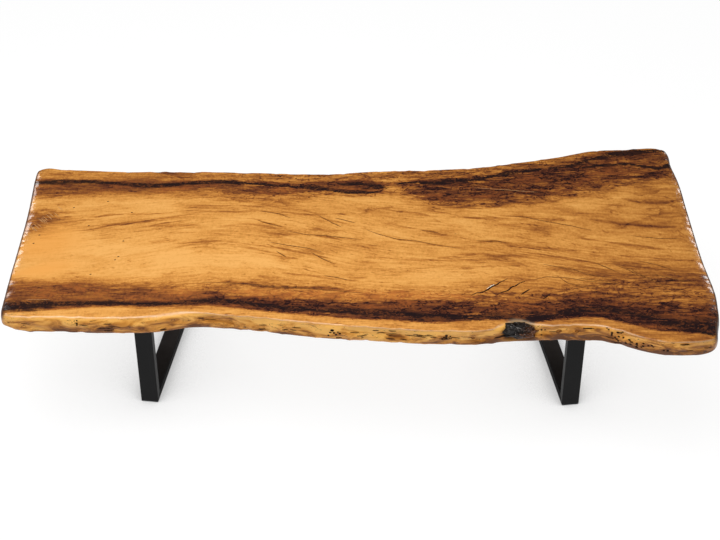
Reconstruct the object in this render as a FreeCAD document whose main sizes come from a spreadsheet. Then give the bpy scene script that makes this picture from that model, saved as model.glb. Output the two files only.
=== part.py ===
import FreeCAD, Part
import Sketcher
import os

# Live edge table: one thick plank with two natural edges, on two steel leg frames.
# Millimetres. X runs along the plank, -Y is the front, Z is up and zero on the floor.

doc = FreeCAD.newDocument("live_edge_table")
sizes = doc.addObject("Spreadsheet::Sheet", "sizes")

# Driving sizes, in millimetres and degrees
driving_sizes = [
    # plank
    ("slab_length", 1920),
    ("slab_width", 948),
    ("slab_thickness", 50),
    ("bottom_edge_inset", 10),
    ("edge_lean", 24),
    # knot in the front edge
    ("knot_length", 95),
    ("knot_depth", 54),
    ("knot_height", 40),
    ("knot_clearance", 0.2),
    # places of the two leg frames under the plank
    ("left_leg_x", -564),
    ("left_leg_y", 14),
    ("right_leg_x", 577),
    ("right_leg_y", 0),
    ("leg_turn_angle", 7.5),
    # leg frames of rectangular tube
    ("leg_height", 383),
    ("frame_depth", 450),
    ("tube_width", 50),
    ("tube_depth", 25),
    ("tube_wall", 2.5),
    ("tube_corner", 3),
    # plates on top of the frames
    ("plate_overhang", 15),
    ("plate_width", 100),
    ("plate_thickness", 6),
    ("plate_corner", 8),
    ("weld_leg", 5),
    ("weld_toe", 0.8),
    # fasteners
    ("bolt_diameter", 8),
    ("bolt_length", 22),
    ("bolt_head_diameter", 14),
    ("bolt_head_height", 5),
    ("bolt_head_chamfer", 1),
    ("bolt_socket_size", 5),
    ("bolt_socket_depth", 3),
    ("bolt_edge_distance", 14),
    ("bolt_upright_gap", 30),
    ("bolt_tip_room", 4),
    ("hole_clearance", 1),
    ("slot_travel", 12),
    ("washer_diameter", 20),
    ("washer_thickness", 1.6),
    ("insert_diameter", 12),
    ("insert_length", 18),
    ("insert_flange_diameter", 16),
    ("insert_flange_height", 1.5),
    ("insert_hole_clearance", 0.3),
    ("thread_clearance", 0.2),
    # pads under the floor rails
    ("glide_diameter", 32),
    ("glide_height", 3),
    ("glide_inset", 45),
]
for row, (name, number) in enumerate(driving_sizes, start=1):
    sizes.set("A%d" % row, name)
    sizes.set("B%d" % row, str(number))
    sizes.setAlias("B%d" % row, name)
doc.recompute()

# Outline of the plank at its widest level, from the front left corner round by the right end.
# Each point is a share of the length, a share of the width and the share of edge_lean by which
# the top face is set in there.
front_edge_shares = [
    (-0.480, -0.385, 0.40), (-0.466, -0.393, 0.50), (-0.430, -0.396, 0.55), (-0.376, -0.402, 0.60),
    (-0.323, -0.403, 0.70), (-0.285, -0.400, 0.80), (-0.258, -0.390, 1.00), (-0.231, -0.379, 0.70),
    (-0.204, -0.377, 0.35), (-0.172, -0.383, 0.20), (-0.134, -0.395, 0.25), (-0.091, -0.411, 0.40),
    (-0.043, -0.426, 0.45), (0.011, -0.436, 0.25), (0.065, -0.447, 0.20), (0.118, -0.453, 0.20),
    (0.156, -0.454, 0.25), (0.185, -0.446, 0.50), (0.210, -0.439, 1.10), (0.237, -0.437, 0.65),
    (0.269, -0.432, 0.45), (0.306, -0.435, 0.80), (0.333, -0.441, 0.55), (0.358, -0.458, 0.30),
    (0.382, -0.480, 0.20), (0.409, -0.497, 0.20), (0.438, -0.500, 0.20), (0.463, -0.496, 0.25),
]
right_end_shares = [
    (0.480, -0.480, 0.30), (0.487, -0.446, 0.35), (0.494, -0.389, 0.35), (0.498, -0.332, 0.35),
    (0.500, -0.283, 0.35), (0.497, -0.141, 0.35), (0.496, 0.011, 0.35), (0.496, 0.174, 0.35),
    (0.495, 0.326, 0.35), (0.492, 0.424, 0.35), (0.490, 0.468, 0.35),
]
back_edge_shares = [
    (0.481, 0.489, 0.35), (0.449, 0.500, 0.35), (0.417, 0.490, 0.35), (0.385, 0.488, 0.35),
    (0.323, 0.454, 0.40), (0.255, 0.418, 0.45), (0.191, 0.388, 0.40), (0.129, 0.374, 0.35),
    (0.066, 0.366, 0.35), (0.004, 0.360, 0.40), (-0.032, 0.351, 0.45), (-0.086, 0.349, 0.40),
    (-0.183, 0.358, 0.35), (-0.280, 0.361, 0.40), (-0.371, 0.362, 0.35), (-0.432, 0.370, 0.35),
    (-0.463, 0.376, 0.35),
]
left_end_shares = [
    (-0.481, 0.380, 0.35), (-0.492, 0.374, 0.35), (-0.499, 0.353, 0.35), (-0.500, 0.315, 0.35),
    (-0.497, 0.217, 0.35), (-0.494, 0.065, 0.35), (-0.493, -0.109, 0.35), (-0.492, -0.250, 0.35),
    (-0.491, -0.326, 0.35), (-0.488, -0.366, 0.35),
]

# Rounding of the plank's edge: share of the thickness, then the shares of bottom_edge_inset and of the
# top face's inset at that level.
edge_level_shares = [
    (0.00, 1.00, 0.00), (0.14, 0.42, 0.00), (0.40, 0.00, 0.00),
    (0.74, 0.00, 0.28), (0.92, 0.00, 0.58), (1.00, 0.00, 1.00),
]

# Middle of the knot, as shares of the plank's length, width and thickness
knot_x_share = 0.221
knot_y_share = -0.428
knot_z_share = 0.56

# Sketch numbers for a line's two ends and for a sketch's own axes and origin
START_INDEX, END_INDEX = 1, 2
CENTRE_INDEX = 3
X_AXIS_INDEX, Y_AXIS_INDEX = -1, -2
ORIGIN = (X_AXIS_INDEX, START_INDEX)


def value(expression):
    """Number that an expression of sheet sizes gives."""
    result = sizes.evalExpression(expression)
    return float(getattr(result, "Value", result))


def new_sketch(body, name, plane, offset="0"):
    """Sketch on one of the body's own planes, moved along the plane's normal by offset."""
    sketch = body.newObject("Sketcher::SketchObject", name)
    support = [feature for feature in body.Origin.OriginFeatures if feature.Role == plane][0]
    sketch.AttachmentSupport = [(support, "")]
    sketch.MapMode = "FlatFace"
    if offset != "0":
        sketch.setExpression("AttachmentOffset.Base.z", offset)
    return sketch


def tie_point(sketch, geometry, point, x, y):
    """Hold a point at signed distances from the sketch's origin, given as expressions."""
    for direction, axis, distance in (("DistanceX", Y_AXIS_INDEX, x), ("DistanceY", X_AXIS_INDEX, y)):
        if distance == "0":
            sketch.addConstraint(Sketcher.Constraint("PointOnObject", geometry, point, axis))
        else:
            constraint = Sketcher.Constraint(direction, *ORIGIN, geometry, point, value(distance))
            index = sketch.addConstraint(constraint)
            sketch.setExpression("Constraints[%d]" % index, distance)


def join_ends(sketch, kind, geometry, following):
    """Join the end of a line or arc to the start of the one that follows it."""
    sketch.addConstraint(Sketcher.Constraint(kind, geometry, END_INDEX, following, START_INDEX))


def add_polygon(sketch, points):
    """Closed outline of straight lines through points given as pairs of expressions."""
    first = sketch.GeometryCount
    count = len(points)
    corners = [FreeCAD.Vector(value(x), value(y), 0) for x, y in points]
    for index in range(count):
        sketch.addGeometry(Part.LineSegment(corners[index], corners[(index + 1) % count]))
    for index in range(count):
        following = first + (index + 1) % count
        join_ends(sketch, "Coincident", first + index, following)
    for index, (x, y) in enumerate(points):
        tie_point(sketch, first + index, START_INDEX, x, y)


def add_rectangle(sketch, left, right, low, high):
    """Rectangle whose four sides are given as expressions."""
    add_polygon(sketch, [(left, low), (right, low), (right, high), (left, high)])


def add_circle(sketch, radius, x, y):
    """Circle with its radius and middle given as expressions."""
    circle = Part.Circle()
    circle.Radius = value(radius)
    circle.Center = FreeCAD.Vector(value(x), value(y), 0)
    geometry = sketch.addGeometry(circle)
    index = sketch.addConstraint(Sketcher.Constraint("Radius", geometry, value(radius)))
    sketch.setExpression("Constraints[%d]" % index, radius)
    tie_point(sketch, geometry, CENTRE_INDEX, x, y)


def add_pad(body, sketch, length, symmetric=False):
    """Pad of a sketch along its normal."""
    pad = body.newObject("PartDesign::Pad", sketch.Name + "_pad")
    pad.Profile = sketch
    pad.setExpression("Length", length)
    if symmetric:
        pad.SideType = "Symmetric"
    doc.recompute()
    return pad


def add_through_pocket(body, sketch):
    """Pocket right through the body, to both sides of its sketch."""
    before = body.Shape.Volume
    pocket = body.newObject("PartDesign::Pocket", sketch.Name + "_pocket")
    pocket.Profile = sketch
    pocket.Type = "ThroughAll"
    pocket.SideType = "Symmetric"
    doc.recompute()
    if not body.Shape.Volume < before:
        raise ValueError(sketch.Name + " cut nothing")
    return pocket


def add_fillet(body, feature, chosen, radius):
    """Fillet on the chosen edges of the body's last feature."""
    names = ["Edge%d" % (index + 1) for index, edge in enumerate(feature.Shape.Edges) if chosen(edge)]
    fillet = body.newObject("PartDesign::Fillet", feature.Name + "_fillet")
    fillet.Base = (feature, names)
    fillet.setExpression("Radius", radius)
    doc.recompute()
    return fillet


def runs_along(edge, axis):
    """Whether an edge is straight and parallel to an axis."""
    if edge.Curve.TypeId != "Part::GeomLine":
        return False
    return abs(abs(edge.Curve.Direction.dot(axis)) - 1) < edge.Vertexes[0].Tolerance


def lies_outside(edge, across, half):
    """Whether an edge's middle lies on the outer side of a section, half its size from the middle."""
    return abs(abs(edge.CenterOfMass.dot(across)) - half) < edge.Vertexes[0].Tolerance


X_WAY = FreeCAD.Vector(1, 0, 0)
Y_WAY = FreeCAD.Vector(0, 1, 0)
Z_WAY = FreeCAD.Vector(0, 0, 1)

nodes = []


def keep(piece, label):
    """Name a finished piece and put it among those that are written."""
    piece.Label = label
    nodes.append(piece)


def place_on_leg(piece, side, height):
    """Set a piece modelled about a frame's middle on the left or right leg, at a height."""
    turn = {"left": "-sizes.leg_turn_angle", "right": "sizes.leg_turn_angle"}[side]
    piece.setExpression("Placement.Base.x", "sizes.%s_leg_x" % side)
    piece.setExpression("Placement.Base.y", "sizes.%s_leg_y" % side)
    piece.setExpression("Placement.Base.z", height)
    piece.setExpression("Placement.Rotation.Angle", turn)


def group(name, template, places):
    """One object of several copies of a template, at places in the frame's own plan."""
    copies = []
    for number, (x, y) in enumerate(places, start=1):
        copy = doc.addObject("App::Link", "%s_%d" % (name, number))
        copy.LinkedObject = template
        copy.setExpression("Placement.Base.x", x)
        copy.setExpression("Placement.Base.y", y)
        copies.append(copy)
    compound = doc.addObject("Part::Compound", name)
    compound.Links = copies
    return compound


# Heights of the stack, from the floor up
RAIL_BASE = "sizes.glide_height"
PLATE_BASE = "sizes.leg_height - sizes.plate_thickness"
WASHER_BASE = PLATE_BASE + " - sizes.washer_thickness"
SLAB_BASE = "sizes.leg_height"

# Places of the bolts and of the uprights' middles in a frame's own plan
BOLT_ROW = "(sizes.plate_width / 2 - sizes.bolt_edge_distance)"
BOLT_END = "(sizes.frame_depth / 2 - sizes.tube_depth - sizes.bolt_upright_gap)"
bolt_rows = ("-" + BOLT_ROW, BOLT_ROW)
bolt_ends = ("-" + BOLT_END, "0", BOLT_END)
bolt_places = [(row, end) for row in bolt_rows for end in bolt_ends]
upright_places = [
    ("0", "-(sizes.frame_depth - sizes.tube_depth) / 2"),
    ("0", "(sizes.frame_depth - sizes.tube_depth) / 2"),
]
glide_places = [
    ("0", "-(sizes.frame_depth / 2 - sizes.glide_inset)"),
    ("0", "sizes.frame_depth / 2 - sizes.glide_inset"),
]


# Plank blank, lofted through closed outlines at several levels of its thickness
def outline_points(bottom_inset_share, top_inset_share, height):
    """Points round the plank at one level, set in from the widest outline."""
    shares = front_edge_shares + right_end_shares + back_edge_shares + left_end_shares
    middle = [FreeCAD.Vector(x * sizes.slab_length, y * sizes.slab_width, height) for x, y, _ in shares]
    points = []
    for index, (_, _, lean_share) in enumerate(shares):
        before = middle[index - 1]
        after = middle[(index + 1) % len(middle)]
        inward = Z_WAY.cross(after - before).normalize()
        inset = bottom_inset_share * sizes.bottom_edge_inset
        inset += top_inset_share * lean_share * sizes.edge_lean
        points.append(middle[index] + inward * inset)
    return points


def chord_parameters(points):
    """Running length of the closed outline's chords, one more than its points."""
    lengths = [0]
    for index, point in enumerate(points):
        following = points[(index + 1) % len(points)]
        lengths.append(lengths[-1] + point.distanceToPoint(following))
    return lengths


widest = outline_points(0, 0, 0)
level_wires = []
for height_share, bottom_inset_share, top_inset_share in edge_level_shares:
    level = outline_points(bottom_inset_share, top_inset_share, height_share * sizes.slab_thickness)
    curve = Part.BSplineCurve()
    curve.interpolate(Points=level, PeriodicFlag=True, Parameters=chord_parameters(widest))
    level_wires.append(Part.Wire([curve.toShape()]))
slab_blank = doc.addObject("Part::Feature", "slab_blank")
slab_blank.Shape = Part.makeLoft(level_wires, True, False)
slab_blank.setExpression("Placement.Base.z", SLAB_BASE)

# Knot: an egg-shaped mass of dark resin and knot wood, flush with the front edge
def knot_egg(name, clearance):
    """Ellipsoid of the knot, smaller by a clearance all round."""
    egg = doc.addObject("Part::Ellipsoid", name)
    egg.setExpression("Radius1", "sizes.knot_height / 2 - " + clearance)
    egg.setExpression("Radius2", "sizes.knot_length / 2 - " + clearance)
    egg.setExpression("Radius3", "sizes.knot_depth / 2 - " + clearance)
    egg.setExpression("Placement.Base.x", "%g * sizes.slab_length" % knot_x_share)
    egg.setExpression("Placement.Base.y", "%g * sizes.slab_width" % knot_y_share)
    egg.setExpression("Placement.Base.z", SLAB_BASE + " + %g * sizes.slab_thickness" % knot_z_share)
    return egg


knot_pocket = knot_egg("knot_pocket", "0")
knot_fill = doc.addObject("Part::Common", "knot_fill")
knot_fill.Base = slab_blank
knot_fill.Tool = knot_egg("knot_egg", "sizes.knot_clearance")
keep(knot_fill, "knot_fill")

# Threaded insert: a flanged metal bush, modelled with its flange at height zero
insert = doc.addObject("PartDesign::Body", "insert")
insert_profile = new_sketch(insert, "insert_profile", "XZ_Plane")
BORE_RADIUS = "(sizes.bolt_diameter + sizes.thread_clearance) / 2"
INSERT_RADIUS = "sizes.insert_diameter / 2"
FLANGE_RADIUS = "sizes.insert_flange_diameter / 2"
add_polygon(insert_profile, [
    (BORE_RADIUS, "0"), (FLANGE_RADIUS, "0"), (FLANGE_RADIUS, "sizes.insert_flange_height"),
    (INSERT_RADIUS, "sizes.insert_flange_height"), (INSERT_RADIUS, "sizes.insert_length"),
    (BORE_RADIUS, "sizes.insert_length"),
])
insert_turned = insert.newObject("PartDesign::Revolution", "insert_turned")
insert_turned.Profile = insert_profile
insert_turned.ReferenceAxis = (insert_profile, ["V_Axis"])

# Hole in the plank for one insert, with a step for its flange and room past its end
insert_hole = doc.addObject("PartDesign::Body", "insert_hole")
hole_profile = new_sketch(insert_hole, "hole_profile", "XZ_Plane")
HOLE_RADIUS = INSERT_RADIUS + " + sizes.insert_hole_clearance"
STEP_RADIUS = FLANGE_RADIUS + " + sizes.insert_hole_clearance"
BOLT_REACH = "sizes.bolt_length - sizes.washer_thickness - sizes.plate_thickness"
HOLE_END = "max(sizes.insert_length; %s) + sizes.bolt_tip_room" % BOLT_REACH
add_polygon(hole_profile, [
    ("0", "0"), (STEP_RADIUS, "0"), (STEP_RADIUS, "sizes.insert_flange_height"),
    (HOLE_RADIUS, "sizes.insert_flange_height"), (HOLE_RADIUS, HOLE_END), ("0", HOLE_END),
])
hole_turned = insert_hole.newObject("PartDesign::Revolution", "hole_turned")
hole_turned.Profile = hole_profile
hole_turned.ReferenceAxis = (hole_profile, ["V_Axis"])

# Bolt: button-headed, with a hexagon socket; height zero is under its head
bolt = doc.addObject("PartDesign::Body", "bolt")
bolt_profile = new_sketch(bolt, "bolt_profile", "XZ_Plane")
HEAD_RADIUS = "sizes.bolt_head_diameter / 2"
add_polygon(bolt_profile, [
    ("0", "-sizes.bolt_head_height"),
    (HEAD_RADIUS + " - sizes.bolt_head_chamfer", "-sizes.bolt_head_height"),
    (HEAD_RADIUS, "sizes.bolt_head_chamfer - sizes.bolt_head_height"),
    (HEAD_RADIUS, "0"),
    ("sizes.bolt_diameter / 2", "0"),
    ("sizes.bolt_diameter / 2", "sizes.bolt_length"),
    ("0", "sizes.bolt_length"),
])
bolt_turned = bolt.newObject("PartDesign::Revolution", "bolt_turned")
bolt_turned.Profile = bolt_profile
bolt_turned.ReferenceAxis = (bolt_profile, ["V_Axis"])
doc.recompute()
SOCKET_END = "sizes.bolt_socket_depth - sizes.bolt_head_height"
socket_profile = new_sketch(bolt, "socket_profile", "XY_Plane", SOCKET_END)
SOCKET_HALF = "sizes.bolt_socket_size / 2"
SOCKET_POINT = "sizes.bolt_socket_size / sqrt(3)"
SOCKET_SIDE = "sizes.bolt_socket_size / (2 * sqrt(3))"
add_polygon(socket_profile, [
    (SOCKET_POINT, "0"), (SOCKET_SIDE, SOCKET_HALF), ("-" + SOCKET_SIDE, SOCKET_HALF),
    ("-" + SOCKET_POINT, "0"), ("-" + SOCKET_SIDE, "-" + SOCKET_HALF), (SOCKET_SIDE, "-" + SOCKET_HALF),
])
socket = bolt.newObject("PartDesign::Pocket", "socket")
socket.Profile = socket_profile
socket.Type = "ThroughAll"
doc.recompute()
if not bolt.Shape.Volume < bolt_turned.Shape.Volume:
    raise ValueError("the bolt's socket cut nothing")

# Washer: a flat ring under each bolt head
washer_disc = doc.addObject("Part::Cylinder", "washer_disc")
washer_disc.setExpression("Radius", "sizes.washer_diameter / 2")
washer_disc.setExpression("Height", "sizes.washer_thickness")
washer_hole = doc.addObject("Part::Cylinder", "washer_hole")
washer_hole.setExpression("Radius", "(sizes.bolt_diameter + sizes.hole_clearance) / 2")
washer_hole.setExpression("Height", "sizes.washer_thickness")
washer = doc.addObject("Part::Cut", "washer")
washer.Base = washer_disc
washer.Tool = washer_hole

# Glide: a round pad under each end of a floor rail
glide = doc.addObject("Part::Cylinder", "glide")
glide.setExpression("Radius", "sizes.glide_diameter / 2")
glide.setExpression("Height", "sizes.glide_height")

# Weld: a fillet bead round the top of an upright, with its top face against the plate
weld = doc.addObject("PartDesign::Body", "weld")
HALF_WIDTH = "sizes.tube_width / 2"
HALF_DEPTH = "sizes.tube_depth / 2"


def add_section(sketch, margin):
    """Rectangle of the tube's outside, larger by a margin all round."""
    wide = "(%s + %s)" % (HALF_WIDTH, margin)
    deep = "(%s + %s)" % (HALF_DEPTH, margin)
    add_rectangle(sketch, "-" + wide, wide, "-" + deep, deep)


weld_top = new_sketch(weld, "weld_top", "XY_Plane")
add_section(weld_top, "sizes.weld_leg")
weld_low = new_sketch(weld, "weld_low", "XY_Plane", "-sizes.weld_leg")
add_section(weld_low, "sizes.weld_toe")
weld_cone = weld.newObject("PartDesign::AdditiveLoft", "weld_cone")
weld_cone.Profile = weld_top
weld_cone.Sections = [weld_low]
doc.recompute()
weld_core = new_sketch(weld, "weld_core", "XY_Plane")
add_section(weld_core, "0")
weld_ring = add_through_pocket(weld, weld_core)
add_fillet(weld, weld_ring, lambda edge: runs_along(edge, Z_WAY), "sizes.tube_corner")


# Tube of a leg frame: an upright with a mitred foot, or a floor rail mitred at both ends
def upright(name, way):
    """Upright at the frame's front (way "-") or rear (way ""), standing on height zero."""
    body = doc.addObject("PartDesign::Body", name)
    outer = way + "sizes.frame_depth / 2"
    inner = way + "(sizes.frame_depth / 2 - sizes.tube_depth)"
    section = new_sketch(body, name + "_section", "XY_Plane")
    add_rectangle(section, "-" + HALF_WIDTH, HALF_WIDTH, outer, inner)
    add_rectangle(
        section,
        "-(%s - sizes.tube_wall)" % HALF_WIDTH,
        "%s - sizes.tube_wall" % HALF_WIDTH,
        way + "(sizes.frame_depth / 2 - sizes.tube_wall)",
        way + "(sizes.frame_depth / 2 - sizes.tube_depth + sizes.tube_wall)",
    )
    tube = add_pad(body, section, PLATE_BASE + " - sizes.glide_height")
    add_fillet(
        body, tube,
        lambda edge: runs_along(edge, Z_WAY) and lies_outside(edge, X_WAY, sizes.tube_width / 2),
        "sizes.tube_corner",
    )
    mitre = new_sketch(body, name + "_mitre", "YZ_Plane")
    add_polygon(mitre, [(outer, "0"), (inner, "0"), (inner, "sizes.tube_depth")])
    add_through_pocket(body, mitre)
    return body


def floor_rail(name):
    """Floor rail along the frame, lying on height zero."""
    body = doc.addObject("PartDesign::Body", name)
    section = new_sketch(body, name + "_section", "XZ_Plane")
    add_rectangle(section, "-" + HALF_WIDTH, HALF_WIDTH, "0", "sizes.tube_depth")
    add_rectangle(
        section,
        "-(%s - sizes.tube_wall)" % HALF_WIDTH,
        "%s - sizes.tube_wall" % HALF_WIDTH,
        "sizes.tube_wall",
        "sizes.tube_depth - sizes.tube_wall",
    )
    tube = add_pad(body, section, "sizes.frame_depth", symmetric=True)
    add_fillet(
        body, tube,
        lambda edge: runs_along(edge, Y_WAY) and lies_outside(edge, X_WAY, sizes.tube_width / 2),
        "sizes.tube_corner",
    )
    mitres = new_sketch(body, name + "_mitres", "YZ_Plane")
    for way in ("-", ""):
        outer = way + "sizes.frame_depth / 2"
        inner = way + "(sizes.frame_depth / 2 - sizes.tube_depth)"
        add_polygon(mitres, [(outer, "0"), (outer, "sizes.tube_depth"), (inner, "sizes.tube_depth")])
    add_through_pocket(body, mitres)
    return body


# Top plate: a flat bar with a round hole at mid-length and slots at its ends, in two rows.
# The slots run across the plank's grain, so that the wood can swell and shrink.
def add_slot(sketch, radius, travel, x, y):
    """Slot with round ends, long in the sketch's second direction, its middle given as expressions."""
    low = "%s - %s / 2" % (y, travel)
    high = "%s + %s / 2" % (y, travel)
    half = value(radius)
    middle_x = value(x)
    low_end = FreeCAD.Vector(middle_x, value(low), 0)
    high_end = FreeCAD.Vector(middle_x, value(high), 0)
    side = FreeCAD.Vector(half, 0, 0)
    first = sketch.GeometryCount
    sketch.addGeometry(Part.Arc(low_end - side, low_end - Y_WAY * half, low_end + side))
    sketch.addGeometry(Part.LineSegment(low_end + side, high_end + side))
    sketch.addGeometry(Part.Arc(high_end + side, high_end + Y_WAY * half, high_end - side))
    sketch.addGeometry(Part.LineSegment(high_end - side, low_end - side))
    for index in range(4):
        following = first + (index + 1) % 4
        join_ends(sketch, "Tangent", first + index, following)
    sketch.addConstraint(Sketcher.Constraint("Equal", first, first + 2))
    index = sketch.addConstraint(Sketcher.Constraint("Radius", first, half))
    sketch.setExpression("Constraints[%d]" % index, radius)
    tie_point(sketch, first, CENTRE_INDEX, x, low)
    tie_point(sketch, first + 2, CENTRE_INDEX, x, high)


def top_plate(name):
    """Plate over the frame, its underside at height zero."""
    body = doc.addObject("PartDesign::Body", name)
    outline = new_sketch(body, name + "_outline", "XY_Plane")
    half_length = "(sizes.frame_depth / 2 + sizes.plate_overhang)"
    add_rectangle(
        outline, "-sizes.plate_width / 2", "sizes.plate_width / 2", "-" + half_length, half_length,
    )
    bar = add_pad(body, outline, "sizes.plate_thickness")
    add_fillet(body, bar, lambda edge: runs_along(edge, Z_WAY), "sizes.plate_corner")
    holes = new_sketch(body, name + "_holes", "XY_Plane")
    hole_radius = "(sizes.bolt_diameter + sizes.hole_clearance) / 2"
    for x, y in bolt_places:
        if y == "0":
            add_circle(holes, hole_radius, x, y)
        else:
            add_slot(holes, hole_radius, "sizes.slot_travel", x, y)
    add_through_pocket(body, holes)
    return body


# Both leg frames, with their plates, welds, fasteners and glides
hole_groups = []
for leg in ("left", "right"):
    plate = top_plate(leg + "_top_plate")
    place_on_leg(plate, leg, PLATE_BASE)
    keep(plate, leg + "_top_plate")

    for position, way in (("front", "-"), ("rear", "")):
        tube = upright("%s_%s_upright" % (leg, position), way)
        place_on_leg(tube, leg, RAIL_BASE)
        keep(tube, "%s_%s_upright" % (leg, position))

    rail = floor_rail(leg + "_floor_rail")
    place_on_leg(rail, leg, RAIL_BASE)
    keep(rail, leg + "_floor_rail")

    for kind, template, places, height in (
        ("plate_welds", weld, upright_places, PLATE_BASE),
        ("plate_bolts", bolt, bolt_places, WASHER_BASE),
        ("plate_washers", washer, bolt_places, WASHER_BASE),
        ("threaded_inserts", insert, bolt_places, SLAB_BASE),
        ("floor_glides", glide, glide_places, "0"),
    ):
        pieces = group("%s_%s" % (leg, kind), template, places)
        place_on_leg(pieces, leg, height)
        keep(pieces, "%s_%s" % (leg, kind))

    holes = group(leg + "_insert_holes", insert_hole, bolt_places)
    place_on_leg(holes, leg, SLAB_BASE)
    hole_groups.append(holes)

# Finished plank, with its insert holes and the knot's pocket cut out
cut_tools = doc.addObject("Part::Compound", "cut_tools")
cut_tools.Links = hole_groups + [knot_pocket]
slab = doc.addObject("Part::Cut", "slab")
slab.Base = slab_blank
slab.Tool = cut_tools
keep(slab, "slab")

doc.recompute()

# Every object and every piece is sound before anything is written
for item in doc.Objects:
    if "Invalid" in item.State or "Error" in item.State:
        raise ValueError("%s failed: %s" % (item.Name, item.State))
for piece in nodes:
    if piece.Shape.isNull() or not piece.Shape.isValid():
        raise ValueError(piece.Label + " has no valid shape")
os.makedirs("parts", exist_ok=True)
for piece in nodes:
    piece.Shape.exportStep("parts/%s.step" % piece.Label)
    box = piece.Shape.BoundBox
    print("%-24s solids %d  volume %.0f  z %.1f to %.1f" % (
        piece.Label, len(piece.Shape.Solids), piece.Shape.Volume, box.ZMin, box.ZMax))
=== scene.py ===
import bpy
import numpy as np
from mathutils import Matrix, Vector


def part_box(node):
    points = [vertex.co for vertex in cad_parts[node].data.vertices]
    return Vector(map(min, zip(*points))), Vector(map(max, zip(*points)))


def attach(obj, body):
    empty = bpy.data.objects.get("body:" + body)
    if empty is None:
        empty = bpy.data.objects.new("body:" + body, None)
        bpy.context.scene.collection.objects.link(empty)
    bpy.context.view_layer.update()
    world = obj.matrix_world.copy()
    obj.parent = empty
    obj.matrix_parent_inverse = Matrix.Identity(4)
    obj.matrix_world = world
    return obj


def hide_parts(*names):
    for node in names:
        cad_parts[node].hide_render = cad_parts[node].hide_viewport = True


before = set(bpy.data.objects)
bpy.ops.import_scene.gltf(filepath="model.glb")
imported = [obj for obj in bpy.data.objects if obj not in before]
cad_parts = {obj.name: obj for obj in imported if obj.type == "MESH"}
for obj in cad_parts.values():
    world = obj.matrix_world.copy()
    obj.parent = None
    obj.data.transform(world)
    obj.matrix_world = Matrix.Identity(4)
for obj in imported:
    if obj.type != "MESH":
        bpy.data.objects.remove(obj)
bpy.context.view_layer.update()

# Plank: one thick board sawn along a trunk, its two long edges left as they grew under the bark and its two
# ends cut across. The wood is golden with dark mineral bands, sanded, and flooded with thick clear lacquer
# that has rolled softly over the cut ends. It rests on the two leg plates and is bolted to them.
# Sizes are in metres, unless a comment names another unit.
plank_low, plank_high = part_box("slab")
plank_base = plank_low.z
plank_top = plank_high.z
plank_length = 1.920
plank_width = 0.948
bottom_inset = 0.010
edge_lean = 0.024

# Outline of the board at its widest level, round from the front left corner: share of the length, share of
# the width, and share of the lean by which the upper face is set in there.
front_edge = [
    (-0.480, -0.385, 0.40), (-0.466, -0.393, 0.50), (-0.430, -0.396, 0.55), (-0.376, -0.402, 0.60),
    (-0.323, -0.403, 0.70), (-0.285, -0.400, 0.80), (-0.258, -0.390, 1.00), (-0.231, -0.379, 0.70),
    (-0.204, -0.377, 0.35), (-0.172, -0.383, 0.20), (-0.134, -0.395, 0.25), (-0.091, -0.411, 0.40),
    (-0.043, -0.426, 0.45), (0.011, -0.436, 0.25), (0.065, -0.447, 0.20), (0.118, -0.453, 0.20),
    (0.156, -0.454, 0.25), (0.185, -0.446, 0.50), (0.210, -0.439, 1.60), (0.237, -0.437, 1.10),
    (0.269, -0.432, 0.45), (0.306, -0.435, 0.80), (0.333, -0.441, 0.55), (0.358, -0.458, 0.30),
    (0.382, -0.480, 0.20), (0.409, -0.497, 0.20), (0.438, -0.500, 0.20), (0.463, -0.496, 0.25),
]
right_end = [
    (0.480, -0.480, 0.30), (0.487, -0.446, 0.35), (0.494, -0.389, 0.35), (0.498, -0.332, 0.35),
    (0.500, -0.283, 0.35), (0.497, -0.141, 0.35), (0.496, 0.011, 0.35), (0.496, 0.174, 0.35),
    (0.495, 0.326, 0.35), (0.492, 0.424, 0.35), (0.491, 0.478, 0.35),
]
back_edge = [
    (0.484, 0.496, 0.35), (0.449, 0.499, 0.35), (0.417, 0.490, 0.35), (0.385, 0.488, 0.35),
    (0.323, 0.454, 0.40), (0.255, 0.418, 0.45), (0.191, 0.388, 0.40), (0.129, 0.374, 0.35),
    (0.066, 0.366, 0.35), (0.004, 0.360, 0.40), (-0.032, 0.351, 0.45), (-0.086, 0.349, 0.40),
    (-0.183, 0.358, 0.35), (-0.280, 0.361, 0.40), (-0.371, 0.362, 0.35), (-0.432, 0.370, 0.35),
    (-0.463, 0.376, 0.35),
]
left_end = [
    (-0.484, 0.383, 0.35), (-0.495, 0.377, 0.35), (-0.500, 0.356, 0.35), (-0.500, 0.315, 0.35),
    (-0.497, 0.217, 0.35), (-0.494, 0.065, 0.35), (-0.493, -0.109, 0.35), (-0.492, -0.250, 0.35),
    (-0.491, -0.326, 0.35), (-0.488, -0.366, 0.35),
]


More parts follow.
